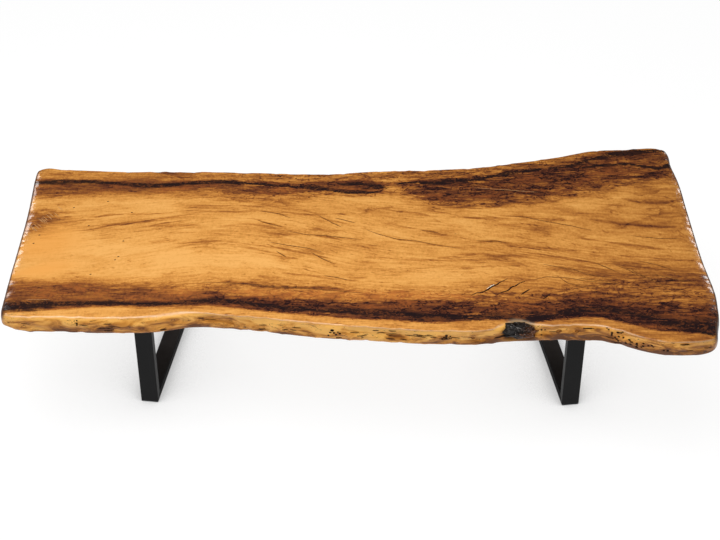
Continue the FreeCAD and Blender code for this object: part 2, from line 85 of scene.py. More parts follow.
def closed_curve(points, counts):
    """Smooth closed curve through points, as a periodic cubic spline over the chord lengths: its second
    derivatives solve the three-term equations of each knot. Each count samples one run of the points."""
    knots = np.array([point for run in points for point in run])
    chord = np.linalg.norm(np.roll(knots, -1, 0)[:, :2] - knots[:, :2], axis=1)
    slope = (np.roll(knots, -1, 0) - knots) / chord[:, None]
    size = len(knots)
    turn = np.roll(np.eye(size), 1, 1)
    before = np.roll(chord, 1)
    matrix = np.diag(2 * (before + chord)) + chord[:, None] * turn + before[:, None] * turn.T
    bend = np.linalg.solve(matrix, 6 * (slope - np.roll(slope, 1, 0)))
    start = np.concatenate([[0], np.cumsum(chord)])
    first = np.cumsum([0] + [len(run) for run in points])
    place = np.concatenate([
        np.linspace(start[a], start[b], count, endpoint=False)
        for a, b, count in zip(first[:-1], first[1:], counts)
    ])
    index = np.clip(np.searchsorted(start, place, "right") - 1, 0, size - 1)
    after = (index + 1) % size
    length = chord[index][:, None]
    far = (place - start[index])[:, None]
    near = length - far
    cubic = (bend[index] * near**3 + bend[after] * far**3) / (6 * length)
    straight = (knots[index] / length - bend[index] * length / 6) * near
    return cubic + straight + (knots[after] / length - bend[after] * length / 6) * far


def soft_noise(u, v, seed):
    """Heights between -1 and 1: seeded random values at whole numbers of u and v, blended between the four
    nearest by smooth steps."""
    cells = 64
    heights = np.random.default_rng(seed).uniform(-1, 1, (cells, cells))
    i, j = np.floor(u).astype(int), np.floor(v).astype(int)
    a, b = u - i, v - j
    a, b = a * a * (3 - 2 * a), b * b * (3 - 2 * b)
    i, j, k, m = i % cells, j % cells, (i + 1) % cells, (j + 1) % cells
    low = heights[i, j] * (1 - a) + heights[k, j] * a
    high = heights[i, m] * (1 - a) + heights[k, m] * a
    return low * (1 - b) + high * b


def smooth_step(low, high, value):
    """Zero below low and one above high, with a smooth rise between them."""
    share = np.clip((value - low) / (high - low), 0, 1)
    return share * share * (3 - 2 * share)


def ring_sides(ring):
    """Front, right, back and left sides of a closed ring, all running to the right or to the back."""
    closed = np.concatenate([ring, ring[:1]])
    front, right = closed[: columns + 1], closed[columns: columns + rows + 1]
    back, left = closed[columns + rows: 2 * columns + rows + 1], closed[2 * columns + rows:]
    return front, right, back[::-1], left[::-1]


def patch(ring, kept):
    """Coons patch inside a closed ring, at the kept rows: each point adds the blends of the two pairs of
    facing sides and takes away the blend of the four corners."""
    front, right, back, left = ring_sides(ring)
    s = np.linspace(0, 1, columns + 1)[None, :, None]
    t = np.linspace(0, 1, rows + 1)[kept][:, None, None]
    sides = (1 - t) * front[None] + t * back[None]
    ends = (1 - s) * left[kept][:, None] + s * right[kept][:, None]
    corners = (1 - t) * ((1 - s) * front[0] + s * front[-1]) + t * ((1 - s) * back[0] + s * back[-1])
    return sides + ends - corners


def quads(index):
    """Four-sided faces between neighbouring rows and columns of a table of vertex numbers."""
    return np.stack([index[:-1, :-1], index[:-1, 1:], index[1:, 1:], index[1:, :-1]], -1).reshape(-1, 4)


def make_object(name, vertices, faces):
    """Smooth mesh object at the origin, with its place in its vertices."""
    mesh = bpy.data.meshes.new(name)
    mesh.from_pydata(np.asarray(vertices).tolist(), [], [list(map(int, face)) for face in faces])
    mesh.polygons.foreach_set("use_smooth", np.full(len(mesh.polygons), True))
    mesh.update()
    made = bpy.data.objects.new(name, mesh)
    bpy.context.scene.collection.objects.link(made)
    return made


def make_piece(name, vertices, faces):
    """Mesh object that is a piece of the table and rides on its one body."""
    piece = make_object(name, vertices, faces)
    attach(piece, "root")
    return piece


# Small knobs stand out along the live edges, where live is one; it is zero at the cut ends.
columns, rows, levels, under_rows = 380, 168, 18, 8
outline = closed_curve([front_edge, right_end, back_edge, left_end], [columns, rows, columns, rows])
outline_xy = outline[:, :2] * (plank_length, plank_width)
along = np.roll(outline_xy, -1, 0) - np.roll(outline_xy, 1, 0)
outward = np.stack([along[:, 1], -along[:, 0]], 1) / np.linalg.norm(along, axis=1)[:, None]
lean = np.clip(outline[:, 2], 0.1, 1.7) * edge_lean
live = smooth_step(0.45, 0.85, np.abs(outward[:, 1]))
knob_length, knob_height = 0.022, 0.004
knobs = soft_noise(outline_xy[:, 0] / knob_length, outline_xy[:, 1] / 0.4, 6) ** 3
outline_xy = outline_xy + outward * (knob_height * live * (knobs - 0.3))[:, None]


def end_roll(x, y, reach):
    """One at the two cut ends of the board, falling evenly to zero at a reach from them."""
    right_x = np.interp(y / plank_width, [p[1] for p in right_end], [p[0] for p in right_end])
    left_x = np.interp(y / plank_width, [p[1] for p in left_end][::-1], [p[0] for p in left_end][::-1])
    gap = np.minimum(right_x * plank_length - x, x - left_x * plank_length)
    return np.clip(1 - gap / reach, 0, 1)


roll_reach, roll_drop, lacquer_set_down, dimple_reach = 0.045, 0.0070, 0.0007, 0.050
swell_layers = [(0.00035, 0.09, 0.05, 3), (0.0002, 0.03, 0.03, 4)]
ripple_layers = [(0.0008, 0.026, 0.022, 5), (0.0006, 0.013, 0.012, 7)]


def unevenness(layers, x, y):
    """Sum of soft noises, each with its height, its length along and across the board, and its seed."""
    return sum(height * soft_noise(x / long, y / wide, seed) for height, long, wide, seed in layers)


def top_height(x, y):
    """Height of the lacquered face: level, with a slow swell, and rolling down by a few millimetres, with
    ripples, within a finger's breadth of the two cut ends."""
    roll = end_roll(x, y, roll_reach)
    rolled = plank_top - lacquer_set_down - roll_drop * roll**2 + unevenness(swell_layers, x, y)
    return rolled + unevenness(ripple_layers, x, y) * roll


# Edge face, level by level: a quarter ellipse in from the underside, a quarter ellipse in to the upper face,
# and between them the shallow scoops that a drawknife leaves on a bark edge. The front left corner is cut
# under, and a shallow socket holds the knot.
level = (1 - np.cos(np.linspace(0, np.pi, levels + 1))) / 2
belly = 0.40
rise = np.clip((level - belly) / (1 - belly), 0, 1)
fall = np.clip((belly - level) / belly, 0, 1)
top_in = (1 - np.sqrt(1 - rise**2))[:, None] * lean[None]
corner_x, corner_y, corner_cut, corner_reach = -0.945, -0.360, 0.028, 0.050
corner_gap = np.hypot(outline_xy[:, 0] - corner_x, outline_xy[:, 1] - corner_y)
undercut = bottom_inset + corner_cut * np.exp(-((corner_gap / corner_reach) ** 2))
low_in = (1 - np.sqrt(1 - fall**2))[:, None] * undercut[None]
run = (outline_xy[:, 0] + 0.6 * outline_xy[:, 1])[None]
height = level[:, None] * (plank_top - plank_base)
scoop_depth, scoop_length, scoop_height = 0.0050, 0.060, 0.024
nick_depth, nick_length, nick_height = 0.0022, 0.024, 0.012
scoop = scoop_depth * soft_noise(run / scoop_length, height / scoop_height + run / 0.4, 11)
scoop += nick_depth * soft_noise(run / nick_length, height / nick_height + run / 0.15, 12)
fullness = 0.0045
middle = (4 * level * (1 - level))[:, None]
knot_level = 0.030
knot_x, knot_y, knot_z = 0.420, -0.400, plank_base + knot_level
socket_half_length, socket_half_height, socket_depth = 0.052, 0.026, 0.012
socket_gap = (((outline_xy[:, 0] - knot_x) / socket_half_length) ** 2)[None]
socket_gap = socket_gap + ((height - knot_level) / socket_half_height) ** 2
socket = socket_depth * np.clip(1 - socket_gap, 0, 1) * (outline_xy[:, 1] < 0)[None]
inward = top_in + low_in - (scoop - fullness) * middle * (0.15 + 0.85 * live)[None] + socket
ring_x = outline_xy[None, :, 0] - inward * outward[None, :, 0]
ring_y = outline_xy[None, :, 1] - inward * outward[None, :, 1]
ring_z = plank_base + level[:, None] * (top_height(ring_x[-1], ring_y[-1]) - plank_base)[None]
rings = np.stack([ring_x, ring_y, ring_z], -1)

around = rings.shape[1]
ring_index = np.arange((levels + 1) * around).reshape(levels + 1, around)
edge_faces = quads(np.concatenate([ring_index, ring_index[:, :1]], 1))


def grid_index(ring, inner_start, kept):
    """Vertex numbers of a patch: its border from a ring, its inside numbered on from inner_start."""
    front, right, back, left = ring_sides(ring)
    index = np.zeros((len(kept), columns + 1), int)
    index[1:-1, 1:-1] = inner_start + np.arange((len(kept) - 2) * (columns - 1)).reshape(len(kept) - 2, -1)
    index[0], index[-1] = front, back
    index[:, 0], index[:, -1] = left[kept], right[kept]
    return index


all_rows = np.arange(rows + 1)
top_patch = patch(rings[-1], all_rows)
top_inner = top_patch[1:-1, 1:-1].reshape(-1, 3)
top_inner[:, 2] = top_height(top_inner[:, 0], top_inner[:, 1])
top_index = grid_index(ring_index[-1], ring_index.size, all_rows)
few_rows = np.arange(0, rows + 1, rows // under_rows)
under_patch = patch(rings[0], few_rows)
under_inner = under_patch[1:-1, 1:-1].reshape(-1, 3)
under_index = grid_index(ring_index[0], ring_index.size + len(top_inner), few_rows)
under_faces = quads(under_index[:, 1:-1])[:, ::-1].tolist()
_, right_side, _, left_side = ring_sides(ring_index[0])
for row in range(under_rows):
    strip = np.arange(few_rows[row], few_rows[row + 1] + 1)
    under_faces.append([*right_side[strip][::-1], under_index[row, -2], under_index[row + 1, -2]])
    under_faces.append([*left_side[strip], under_index[row + 1, 1], under_index[row, 1]])
plank_vertices = np.concatenate([rings.reshape(-1, 3), top_inner, under_inner])
plank_faces = edge_faces.tolist() + quads(top_index).tolist() + under_faces
plank = make_piece("live_edge_plank", plank_vertices, plank_faces)
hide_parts("slab")

# Figure of the wood. A dark mineral band runs near each long edge. Its stations give the distance along the
# board, then across it the black core, half the core's width, the limit towards the edge, the inner limit of
# the brown body and the limit of its fade, all in millimetres, and the body's darkness in percent.
front_band = [
    (-940, -322, 24, -345, -208, -165, 60), (-860, -320, 24, -345, -208, -165, 60),
    (-785, -310, 13, -335, -210, -165, 60), (-705, -308, 11, -325, -215, -165, 62),
    (-650, -308, 11, -322, -230, -165, 62), (-575, -310, 10, -325, -240, -165, 62),
    (-470, -308, 9, -320, -255, -160, 62), (-390, -295, 10, -315, -255, -155, 72),
    (-325, -300, 8, -325, -275, -150, 76), (-250, -318, 8, -340, -285, -155, 76),
    (-175, -330, 10, -350, -290, -165, 78), (-100, -338, 10, -360, -295, -190, 78),
    (0, -346, 12, -375, -295, -205, 78), (100, -353, 12, -378, -295, -210, 76),
    (195, -366, 14, -390, -290, -215, 72), (265, -366, 11, -384, -280, -215, 66),
    (350, -362, 10, -378, -280, -220, 60), (450, -368, 15, -388, -290, -220, 62),
    (525, -358, 13, -376, -285, -195, 66), (590, -335, 14, -370, -280, -165, 74),
    (640, -330, 13, -370, -280, -145, 78), (695, -345, 9, -390, -285, -125, 70),
    (775, -375, 12, -420, -295, -110, 68), (845, -398, 18, -430, -310, -110, 70),
    (890, -407, 22, -430, -325, -120, 72), (945, -410, 23, -430, -340, -145, 74),
]
rear_band = [
    (-965, 278, 5, 297, 200, 165, 62), (-905, 278, 11, 295, 205, 165, 62),
    (-805, 280, 10, 292, 210, 170, 60), (-685, 270, 9, 288, 218, 165, 60),
    (-640, 262, 11, 288, 220, 165, 60), (-495, 272, 9, 286, 225, 155, 58),
    (-420, 280, 9, 288, 222, 150, 58), (-345, 275, 10, 289, 205, 145, 60),
    (-255, 262, 5, 279, 195, 150, 60), (-170, 253, 6, 270, 215, 160, 60),
    (-115, 246, 12, 278, 225, 175, 74), (-50, 225, 10, 284, 212, 185, 76),
    (0, 222, 8, 286, 208, 185, 76), (65, 230, 3, 273, 218, 185, 60),
    (100, 255, 2, 270, 244, 185, 50), (140, 274, 5, 282, 225, 160, 58),
    (215, 272, 8, 291, 170, 135, 58), (280, 283, 12, 303, 162, 128, 58),
    (330, 289, 12, 312, 155, 120, 56), (390, 306, 12, 321, 158, 122, 56),
    (490, 338, 11, 356, 185, 140, 58), (560, 352, 9, 371, 190, 148, 56),
    (635, 366, 9, 393, 215, 160, 56), (710, 408, 8, 430, 238, 165, 52),
    (790, 435, 12, 454, 265, 190, 46), (875, 453, 10, 468, 290, 215, 42),
    (980, 450, 4, 456, 310, 250, 40),
]
# Single streaks: each place is the distance along the board, the distance across it and half the streak's
# width there, in millimetres. Ink is black, rust is red brown, shade is soft brown and glow is pale.
ink_streaks = [
    [(-80, 280, 2), (-30, 265, 8), (0, 270, 9), (30, 260, 13), (55, 255, 11), (90, 250, 2)],
    [(665, 355, 2), (715, 365, 5), (815, 375, 5), (855, 365, 5), (890, 350, 5), (940, 380, 8)],
]
rust_streaks = [
    [(-815, -305, 15), (-700, -300, 15), (-665, -305, 8)],
    [(-620, -280, 8), (-535, -270, 22), (-455, -270, 24), (-415, -275, 18), (-380, -295, 5)],
    [(-115, 255, 4), (-15, 245, 10), (30, 235, 8), (90, 235, 3)],
    [(-360, -255, 6), (-240, -265, 18), (-100, -270, 24), (50, -275, 24), (190, -275, 20), (300, -280, 8)],
]
shade_streaks = [
    [(-875, 65, 5), (-800, 75, 5), (-750, 90, 5), (-720, 105, 5), (-665, 110, 5), (-600, 110, 4),
     (-550, 115, 2)],
    [(-775, 30, 3), (-730, 40, 6), (-700, 55, 6), (-660, 60, 6), (-595, 75, 5), (-485, 110, 6),
     (-270, 125, 5), (-135, 110, 4), (-35, 110, 2)],
    [(-945, 120, 4), (-905, 125, 10), (-820, 120, 4)],
    [(-390, 45, 3), (-335, 60, 8), (-185, 25, 8), (-140, 10, 7), (0, -15, 4)],
    [(-305, 90, 2), (-250, 65, 4), (-145, 15, 3)],
    [(-425, -20, 3), (-295, -50, 9), (-240, -80, 8), (-185, -105, 3)],
    [(-270, -45, 3), (-165, -70, 10), (-125, -80, 13), (-90, -105, 13), (-65, -130, 5)],
    [(-110, 95, 2), (-70, 75, 4), (-30, 60, 4), (0, 50, 2)],
    [(-185, 80, 2), (-135, 50, 4), (-80, 30, 3), (-35, 30, 2)],
    [(-495, -35, 2), (-395, -25, 6), (-355, -30, 3)],
    [(-445, -220, 3), (-350, -215, 3), (-285, -225, 4), (-205, -240, 4), (-155, -235, 5), (0, -260, 5),
     (65, -275, 3)],
    [(-195, -175, 2), (-65, -195, 4), (-15, -205, 3)],
    [(15, 40, 2), (55, 25, 6), (85, 5, 6), (165, -25, 5), (290, -60, 4)],
    [(50, 80, 2), (95, 55, 4), (150, 40, 4), (205, 25, 4), (240, 10, 2)],
    [(310, 95, 5), (380, 90, 10), (435, 100, 11), (515, 85, 10), (615, 80, 6)],
    [(340, -30, 4), (400, -25, 8), (430, -45, 14), (460, -55, 12), (530, -60, 8), (605, -70, 4)],
    [(240, -105, 5), (300, -95, 14), (385, -100, 13), (455, -90, 15), (525, -95, 12), (595, -110, 8),
     (660, -130, 4)],
    [(200, -110, 2), (245, -105, 9), (300, -110, 8), (350, -125, 3)],
    [(670, 85, 3), (740, 65, 6), (820, 50, 6), (895, 45, 4)],
    [(630, -10, 3), (815, -55, 6), (910, -70, 4)],
    [(720, -90, 3), (780, -105, 6), (915, -115, 3)],
    [(775, 190, 4), (835, 165, 9), (935, 180, 4)],
    [(715, -135, 3), (790, -190, 6), (830, -230, 6), (860, -255, 2)],
    [(500, -120, 3), (575, -145, 6), (705, -200, 4), (755, -205, 3)],
    [(535, -155, 3), (665, -205, 6), (705, -220, 3)],
    [(560, -225, 3), (620, -225, 5), (700, -220, 4)],
    [(790, -145, 3), (840, -175, 5), (925, -205, 3)],
    [(560, -150, 15), (690, -190, 30), (840, -200, 40), (940, -190, 25)],
    # This streak deepens the painted reflection patch near the left end.
    [(-930, 25, 9), (-920, 50, 23), (-900, 70, 24), (-875, 80, 21), (-850, 85, 15), (-800, 80, 4)],
    [(220, 160, 4), (330, 145, 13), (380, 150, 13), (425, 165, 10), (520, 165, 8), (585, 180, 4)],
    [(760, 315, 5), (805, 305, 12), (910, 330, 15), (935, 335, 12)],
]
glow_streaks = [
    [(-930, -65, 33), (-890, -45, 73), (-845, -25, 84), (-800, -20, 68), (-700, -45, 11)],
    [(-920, -175, 16), (-870, -160, 38), (-820, -145, 43), (-730, -130, 5)],
    [(-695, 170, 6), (-610, 175, 24), (-530, 180, 24), (-445, 170, 21), (-300, 165, 5)],
    [(-725, -75, 17), (-660, -75, 61), (-580, -85, 77), (-505, -100, 66), (-390, -100, 55), (-255, -125, 33),
     (-195, -145, 11)],
    [(185, 80, 12), (235, 80, 37), (290, 65, 43), (345, 30, 37), (400, 25, 24), (465, 30, 12)],
    [(35, -110, 6), (95, -125, 35), (165, -150, 51), (245, -170, 51), (310, -160, 34), (380, -160, 17)],
    [(570, 190, 7), (625, 165, 36), (700, 180, 44), (855, 245, 22), (905, 255, 8)],
]


def through(places, x):
    """Smooth curve through places along x: cubic Hermite pieces whose slopes join each place's neighbours."""
    at, value = places[:, 0], places[:, 1:]
    slope = np.gradient(value, at, axis=0)
    x = np.clip(x, at[0], at[-1])
    index = np.clip(np.searchsorted(at, x, "right") - 1, 0, len(at) - 2)
    span = (at[index + 1] - at[index])[:, None]
    s = (x[:, None] - at[index][:, None]) / span
    start = value[index] * (1 + 2 * s) * (1 - s) ** 2 + slope[index] * span * s * (1 - s) ** 2
    return start + value[index + 1] * s**2 * (3 - 2 * s) + slope[index + 1] * span * s**2 * (s - 1)


def streak_reach(streak, points):
    """Distance across from a streak's middle line over its half width, and more past the streak's ends."""
    places = np.array(streak) / 1000
    middle, half = through(places, points[:, 0]).T
    half = np.maximum(half, 0.001)
    beyond = np.abs(points[:, 0] - np.clip(points[:, 0], places[0, 0], places[-1, 0]))
    return np.abs(points[:, 1] - middle) / half + beyond / (2 * half + 0.010)


def sharp_field(streaks, points):
    """One on a streak's middle line, zero at its edge and below zero outside; the highest streak counts."""
    return np.max([1 - streak_reach(streak, points) for streak in streaks], axis=0).clip(-2, 1)


def soft_field(streaks, points):
    """One on a streak's middle line, falling off as a bell curve; the highest streak counts."""
    return np.max([np.exp(-streak_reach(streak, points) ** 2) for streak in streaks], axis=0)


def band_fields(band, points, inside, outer):
    """Darkness of a band, and its black core as one less the distance over the half width. The darkness is
    full between the edge limit and the body limit and fades on to the last limit; inside is the sign of y
    towards the middle of the board, and outer the share of the darkness kept out to the bark edge."""
    places = np.array(band, float) / 1000
    core, half, edge, body, fade, share = through(places, points[:, 0]).T
    deep = (points[:, 1] - edge) * inside
    body_deep = (body - edge) * inside
    fade_deep = (fade - edge) * inside
    near = 1 - smooth_step(0.6 * body_deep, 1.15 * body_deep, deep)
    far = 1 - smooth_step(0.8 * body_deep, fade_deep, deep)
    entry = outer + (1 - outer) * smooth_step(-0.008, 0.006, deep)
    dark = share * 10 * entry * (0.40 * near + 0.60 * far)
    return dark, (1 - np.abs(points[:, 1] - core) / np.maximum(half, 0.001)).clip(-2, 1)


def grain_across(points):
    """Distance across the grain: the y place, less two bends, each strongest along its own line and fading to
    both sides as a bell curve. The fibres along the middle climb from the left end to a third of the length
    and fall away to the right; those behind the front band dive towards it near the right end."""
    middle = [
        (-0.96, -0.03), (-0.75, 0.0), (-0.55, 0.055), (-0.40, 0.085),
        (-0.20, 0.045), (0.0, -0.03), (0.20, -0.075), (0.40, -0.095),
    ]
    dive = [(0.35, 0.0), (0.50, -0.035), (0.65, -0.09), (0.80, -0.12), (0.96, -0.13)]
    across = points[:, 1].copy()
    for places, line, spread in ((middle, -0.02, 0.20), (dive, -0.15, 0.17)):
        bend = through(np.array(places), points[:, 0])[:, 0]
        across -= bend * np.exp(-(((points[:, 1] - line) / spread) ** 2))
    return across


def give_values(piece, name, values):
    """Keep one number for each vertex, which the piece's material reads by name."""
    kept = piece.data.attributes.new(name, "FLOAT", "POINT")
    kept.data.foreach_set("value", np.ascontiguousarray(values, np.float32))


def give_edge_values(name, on_edge):
    """Keep a number for each vertex of the edge rings, and zero for the upper face and the underside."""
    inside = np.zeros(len(top_inner) + len(under_inner))
    give_values(plank, name, np.concatenate([on_edge.ravel(), inside]))


# Bark covers the live edges to just below the upper face, and higher at the knot. The arris is the upper
# corner of the front edge, and its pale tint is a painted highlight. The end rim is the dark upper part of
# the cut ends.
bark_level, knot_lift, knot_reach = 0.86, 0.11, 0.07
bark_limit = bark_level + knot_lift * np.exp(-(((outline_xy[:, 0] - knot_x) / knot_reach) ** 2))
give_edge_values("bark", smooth_step(1.0, bark_limit[None], level[:, None]) * live[None])
arris_level, arris_spread, arris_lean = 0.978, 0.014, 0.020
arris = np.exp(-(((level - arris_level) / arris_spread) ** 2))[:, None]
give_edge_values("arris", arris * (live * (outward[:, 1] < 0) * np.clip(arris_lean / lean, 0, 1))[None])
give_edge_values("end_rim", smooth_step(0.55, 0.80, level)[:, None] * (1 - live)[None])
under = np.repeat((level < 0.02).astype(float), around)
give_values(plank, "under", np.concatenate([under, np.zeros(len(top_inner)), np.ones(len(under_inner))]))
# The dark value joins the two bands and a dark patch near the left end that is a painted reflection.
front_dark, front_core = band_fields(front_band, plank_vertices, 1, 0.08)
rear_dark, rear_core = band_fields(rear_band, plank_vertices, -1, 0.55)
reflection_x, reflection_y, reflection_half_x, reflection_half_y, reflection_share = -0.900, 0.075, 0.075, 0.060, 0.52
reflection_gap = np.hypot((plank_vertices[:, 0] - reflection_x) / reflection_half_x, (plank_vertices[:, 1] - reflection_y) / reflection_half_y)
painted_reflection_patch = reflection_share * np.exp(-(reflection_gap**2))
ink_lines = np.maximum(sharp_field(ink_streaks, plank_vertices), np.maximum(front_core, rear_core))
give_values(plank, "grain", grain_across(plank_vertices))
give_values(plank, "dark", np.maximum(np.maximum(front_dark, rear_dark), painted_reflection_patch))
give_values(plank, "ink", ink_lines)
give_values(plank, "rust", sharp_field(rust_streaks, plank_vertices))
give_values(plank, "shade", soft_field(shade_streaks, plank_vertices))
give_values(plank, "glow", soft_field(glow_streaks, plank_vertices))
give_values(plank, "rolled", end_roll(plank_vertices[:, 0], plank_vertices[:, 1], dimple_reach))


class Shade:
    """One socket of a material's nodes. Arithmetic on it adds Math nodes to the same material."""

    def __init__(self, tree, socket=None):
        self.tree = tree
        self.socket = socket

    def node(self, kind, settings=None, sockets=None, output=0):
        """New node of a kind: its settings first, then a value or a link for each named input socket."""
        made = self.tree.nodes.new("ShaderNode" + kind)
        for name, setting in (settings or {}).items():
            if name == "stops":
                stops = made.color_ramp.elements
                stops.remove(stops[-1])
                stops[0].position, stops[0].color = setting[0][0], (*setting[0][1], 1)
                for place, colour in setting[1:]:
                    stops.new(place).color = (*colour, 1)
            else:
                setattr(made, name, setting)
        for name, value in (sockets or {}).items():
            if isinstance(value, Shade):
                self.tree.links.new(value.socket, made.inputs[name])
            else:
                made.inputs[name].default_value = value
        return Shade(self.tree, made.outputs[output])

    def math(self, operation, first, second=0.0):
        """Result of one Math operation on a first and a second value."""
        return self.node("Math", {"operation": operation}, {0: first, 1: second})

    def __add__(self, other):
        return self.math("ADD", self, other)

    def __sub__(self, other):
        return self.math("SUBTRACT", self, other)

    def __rsub__(self, other):
        return self.math("SUBTRACT", other, self)

    def __mul__(self, other):
        return self.math("MULTIPLY", self, other)

    __radd__ = __add__
    __rmul__ = __mul__

    def rise(self, low, high):
        """Smooth step from zero at low to one at high."""
        return self.node("MapRange", {"interpolation_type": "SMOOTHSTEP"},
                         {"Value": self, "From Min": low, "From Max": high})

    def near(self, middle, reach):
        """One where this value equals middle, falling smoothly to zero at a reach on both sides."""
        return self.math("ABSOLUTE", self - middle).rise(reach, 0.0)

    def tint(self, first, second):
        """Colour mixed from first to second by this value."""
        return self.node("Mix", {"data_type": "RGBA"}, {0: self, 6: first, 7: second}, 2)

    def ramp(self, stops):
        """Colour read from a ramp of (place, colour) stops."""
        return self.node("ValToRGB", {"stops": stops}, {0: self})

    def bump(self, strength, distance):
        """Normal tilted by this value, taken as a height of so many metres."""
        return self.node("Bump", None, {"Strength": strength, "Distance": distance, "Height": self})

    def attribute(self, name):
        """Number kept for each vertex under a name."""
        return self.node("Attribute", {"attribute_name": name}, output=2)

    def place(self, x, y, z):
        """Vector with the three values as its parts."""
        return self.node("CombineXYZ", None, {0: x, 1: y, 2: z})

    def noise(self, at, detail=2.0, rough=0.5, bent=0.0):
        """Noise between zero and one, mostly near a half, at scaled x, y and z."""
        sockets = {"Scale": 1.0, "Detail": detail, "Roughness": rough, "Distortion": bent}
        return self.node("TexNoise", None, {"Vector": self.place(*at), **sockets})


def new_material(name):
    """Empty node material, its Principled shader and a starting Shade with the object's x, y and z."""
    material = bpy.data.materials.new(name)
    material.use_nodes = True
    tree = material.node_tree
    shader = tree.nodes["Principled BSDF"]
    start = Shade(tree)
    where = start.node("TexCoord", output=3)
    axes = [start.node("SeparateXYZ", None, {0: where}, output) for output in range(3)]
    return material, shader, start, axes


def wire(shader, name, value):
    """Link a Shade to a shader's named input, or set a constant there."""
    if isinstance(value, Shade):
        shader.id_data.links.new(value.socket, shader.inputs[name])
    else:
        shader.inputs[name].default_value = value


# Noise of the wood: fibre, streak, figure and fleck follow the wavering grain, and tuft, ragged, clump and
# crease break up the dark bands.
wood, wood_shader, shade, (x, y, z) = new_material("lacquered_wood")
waver = shade.noise((x * 4, y * 9, z * 9), 2.0) * 0.020
grain = shade.attribute("grain") + waver
fibre = shade.noise((x * 22, grain * 190, z * 190), 3.0, 0.6)
streak = shade.noise((x * 5, grain * 60, z * 60), 5.0, 0.62, 0.4)
figure = shade.noise((x * 1.6, grain * 9, z * 9), 3.0, 0.5, 0.5)
patches = shade.noise((x * 5, y * 11, z * 11), 4.0, 0.6, 0.6)
mottle = shade.noise((x * 130, y * 90, z * 90), 3.0, 0.7)
fleck = shade.noise((x * 38, (grain + x * 0.10) * 110, z * 110), 3.0, 0.6, 0.4).rise(0.58, 0.74)
tuft = shade.noise((x * 40, y * 44, z * 44), 4.0, 0.62, 2.2)
ragged = shade.noise((x * 14, y * 60, z * 60), 5.0, 0.68, 0.7)
clump = shade.noise((x * 7, y * 26, z * 26), 3.0, 0.6, 0.8)
crease = shade.noise((x * 13, y * 34, z * 34), 3.0, 0.5, 1.6).near(0.5, 0.040)
tide = shade.math("FRACT", figure * 8.0 + (fibre - 0.5) * 0.3)
tide = shade.math("POWER", tide, 5.0) * patches.rise(0.40, 0.62)

# Tone: zero is pale gold and one is black. The bands are calm at the left and torn towards the right, with
# flame along their limits, dark creases, and contour lines that follow their darkness.
dark = shade.attribute("dark")
unrest = x.rise(-0.65, -0.05) * 0.65 + 0.35
lively = dark.rise(0.00, 0.30) * unrest
tone = 0.21 + x * 0.10 - x.near(0.05, 0.45) * 0.03
tone = tone + (streak - 0.5) * 0.36 + (fibre - 0.5) * 0.42 + (patches - 0.5) * 0.44
tone = tone + (mottle - 0.5) * 0.34 + fleck * 0.20 + tide * 0.22
broken = (streak * 0.45 + ragged * 0.25 + fibre * 0.30).rise(0.36, 0.60)
tone = tone + shade.attribute("shade") * broken * 0.29 - shade.attribute("glow") * 0.10
flame = (dark + (tuft - 0.5) * 0.9 + (ragged - 0.5) * 1.9 + (clump - 0.5) * 1.0).rise(0.30, 0.62)
tone = tone + dark * (streak * 0.5 + 0.43 - unrest * 0.08) + flame * lively * 0.16 + crease * lively * 0.30
contour = dark * 2.6 + (clump - 0.5) * 2.4 + (ragged - 0.5) * 0.8
contour = shade.math("FRACT", contour).near(0.5, 0.16)
tone = tone + lively * ((tuft - 0.5) * 0.20 + (ragged - 0.5) * 0.42 + contour * 0.20 - 0.06)
colour = tone.ramp([
    (0.00, (0.87, 0.440, 0.125)), (0.16, (0.76, 0.350, 0.082)), (0.32, (0.55, 0.220, 0.045)),
    (0.48, (0.33, 0.114, 0.026)), (0.66, (0.16, 0.050, 0.020)), (0.84, (0.060, 0.019, 0.013)),
    (1.00, (0.018, 0.008, 0.009)),
])

# Colours over the tone: an orange heart at the left end, rust streaks, red embers in the bands, black ink.
heart = shade.attribute("glow") * (0.0 - x).rise(0.70, 0.85) * 0.6
colour = heart.tint(colour, (0.84, 0.350, 0.070, 1))
rust = (shade.attribute("rust") + (ragged - 0.5) * 1.4 + (tuft - 0.5) * 1.2).rise(-0.3, 0.7)
rust = rust * (1.0 - dark) * (tuft.rise(0.40, 0.60) * 0.5 + 0.25)
colour = rust.tint(colour, (0.62, 0.200, 0.042, 1))
ember = (tuft * 0.5 + clump * 0.5).rise(0.48, 0.62) * dark.rise(0.25, 0.60)
colour = (ember * 0.60).tint(colour, (0.40, 0.115, 0.028, 1))
torn = (clump - 0.5) * 5.0 + (ragged - 0.5) * 4.0 + (tuft - 0.5) * 3.0
ink = shade.attribute("ink") + torn * (unrest * 0.8 + 0.2)
ink = ink.rise(-0.50, 0.45) * (1.0 - ember * 0.40)
colour = (ink * 0.95).tint(colour, (0.015, 0.009, 0.010, 1))

# Bark face: brown low down and paler above, a height gradient that is painted shade, with cracks and specks.
# Under the knot its rim is pale, and pitch has stained the lip above the knot.
bark_noise = shade.noise((x * 14, y * 14, z * 52), 5.0, 0.60, 0.8)
# Painted shade: the bark face darkens towards its underside and pales towards the top.
bark_painted_shade = ((z - plank_base) * (1 / (plank_top - plank_base)) - 0.5) * 0.42
bark_tone = (bark_noise - 0.5) * 1.3 + bark_painted_shade + x.near(0.0, 0.50) * 0.15 - x * 0.08 + 0.49
bark_colour = bark_tone.ramp([
    (0.30, (0.15, 0.045, 0.006)), (0.41, (0.38, 0.135, 0.016)), (0.52, (0.66, 0.275, 0.042)),
    (0.68, (0.94, 0.490, 0.110)),
])
crack = shade.noise((x * 16, y * 16, z * 90), 3.0, 0.6, 1.0).near(0.62, 0.018)
speck = shade.noise((x * 70, y * 70, z * 150), 3.0, 0.6, 0.5).rise(0.64, 0.72)
bark_colour = (crack * 0.85).tint(bark_colour, (0.060, 0.022, 0.008, 1))
bark_colour = (speck * 0.90).tint(bark_colour, (0.035, 0.015, 0.009, 1))
